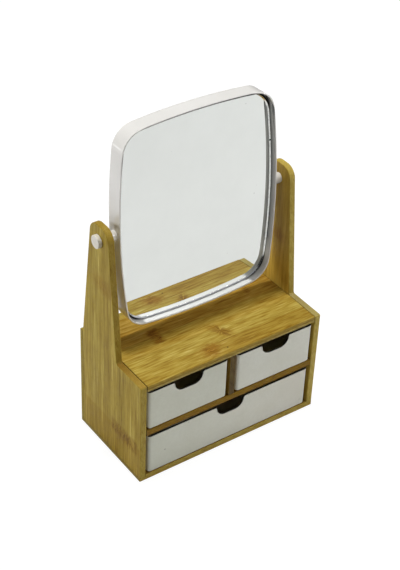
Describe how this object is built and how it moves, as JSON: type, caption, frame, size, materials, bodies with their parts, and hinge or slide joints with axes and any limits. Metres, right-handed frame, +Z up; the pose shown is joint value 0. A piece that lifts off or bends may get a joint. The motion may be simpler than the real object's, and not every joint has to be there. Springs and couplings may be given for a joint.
{
  "type": "vanity mirror with drawers",
  "caption": "Bamboo table-top vanity organiser with pull-out tray drawers, an open shelf and a tilting mirror held between two tapered uprights.",
  "frame": {"origin": "on the ground at the middle of the footprint", "axes": "+Z up; -Y is the front, the side the drawers open towards; +X is on the right of someone facing the front"},
  "size_m": [0.2286, 0.1124, 0.3621],
  "materials": {
    "bamboo": "satin clear lacquer over vertical-laminated bamboo",
    "bamboo_back": "satin clear lacquer over thin bamboo board",
    "dowel_wood": "raw, glued in",
    "screw_steel": "zinc plated",
    "drawer_plastic": "fine matte, light grey-white",
    "frame_plastic": "glossy white",
    "backing_board": "raw fibreboard",
    "mirror_glass": "silvered float glass, ground edge",
    "black_foam": "matte foam tape",
    "pin_plastic": "glossy white",
    "washer_nylon": "natural nylon"
  },
  "bodies": {
    "carcass": {"left_side_panel": "bamboo", "right_side_panel": "bamboo", "bottom_panel": "bamboo", "middle_shelf": "bamboo", "top_shelf": "bamboo", "center_divider": "bamboo", "back_panel": "bamboo_back", "top_shelf_dowels": "dowel_wood", "middle_shelf_dowels": "dowel_wood", "divider_dowels": "dowel_wood", "bottom_panel_dowels": "dowel_wood", "back_panel_screws": "screw_steel"},
    "drawer_left": {"drawer_left": "drawer_plastic"},
    "drawer_right": {"drawer_right": "drawer_plastic"},
    "drawer_bottom": {"drawer_bottom": "drawer_plastic"},
    "mirror": {"mirror_frame": "frame_plastic", "mirror_backing_board": "backing_board", "front_glass": "mirror_glass", "rear_glass": "mirror_glass", "front_adhesive_pad": "black_foam", "rear_adhesive_pad": "black_foam", "pivot_pin_left": "pin_plastic", "pivot_pin_right": "pin_plastic", "friction_washer_left": "washer_nylon", "friction_washer_right": "washer_nylon"}
  },
  "joints": [
    {"name": "mirror_tilt", "type": "hinge", "parent": "carcass", "child": "mirror", "pos_m": [0, 0.01935, 0.2508], "axis": [1, 0, 0], "continuous": true},
    {"name": "drawer_left_slide", "type": "slide", "parent": "carcass", "child": "drawer_left", "axis": [0, -1, 0], "range_m": [0, 0.09]},
    {"name": "drawer_right_slide", "type": "slide", "parent": "carcass", "child": "drawer_right", "axis": [0, -1, 0], "range_m": [0, 0.09]},
    {"name": "drawer_bottom_slide", "type": "slide", "parent": "carcass", "child": "drawer_bottom", "axis": [0, -1, 0], "range_m": [0, 0.09]}
  ]
}
